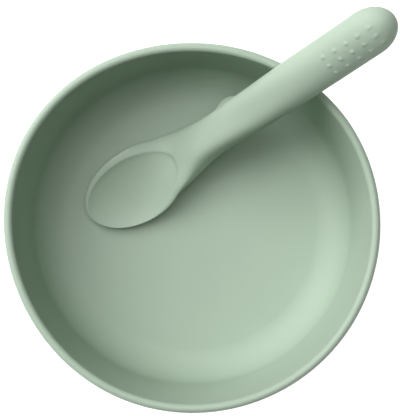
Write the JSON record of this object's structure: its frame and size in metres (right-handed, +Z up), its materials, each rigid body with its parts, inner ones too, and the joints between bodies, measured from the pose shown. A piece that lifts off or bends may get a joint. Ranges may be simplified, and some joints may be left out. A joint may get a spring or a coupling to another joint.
{
  "type": "suction bowl with spoon",
  "caption": "Round silicone weaning bowl on a push-fit suction foot with a release tab, with a thick-handled silicone spoon lying in it.",
  "frame": {"origin": "on the bowl's axis, on the table that the suction skirt stands on", "axes": "+Z up along the bowl's axis, -Y towards the release tab, +X to the right seen with the tab in front"},
  "size_m": [0.1281, 0.1333, 0.089],
  "materials": {
    "bowl_silicone": "satin moulded silicone, sage green",
    "spoon_silicone": "satin moulded silicone, sage green",
    "foot_silicone": "satin moulded silicone, sage green",
    "core_nylon": "moulded natural nylon"
  },
  "bodies": {
    "skirt": {"suction_skirt": "foot_silicone"},
    "hub": {"suction_hub": "foot_silicone"},
    "bowl": {"bowl_shell": "bowl_silicone"},
    "tab": {"release_tab": "foot_silicone"},
    "spoon": {"spoon_skin": "spoon_silicone", "spoon_core": "core_nylon"}
  },
  "joints": [
    {"name": "suction_press", "type": "slide", "parent": "skirt", "child": "hub", "axis": [0, 0, 1], "range_m": [-0.0025, 0], "stiffness_N_per_m": 1500, "springref_m": 0.003, "deforming": ["suction_skirt"]},
    {"name": "bowl_lift", "type": "slide", "parent": "hub", "child": "bowl", "axis": [0, 0, 1], "range_m": [0, 0.03]},
    {"name": "tab_pull", "type": "hinge", "parent": "skirt", "child": "tab", "pos_m": [0, -0.0436, 0.0009], "axis": [-1, 0, 0], "range_deg": [0, 18], "stiffness_Nm_per_rad": 0.003, "springref_deg": -11.46},
    {"name": "spoon_lift", "type": "slide", "parent": "bowl", "child": "spoon", "axis": [0, 0, 1], "range_m": [0, 0.09]}
  ]
}
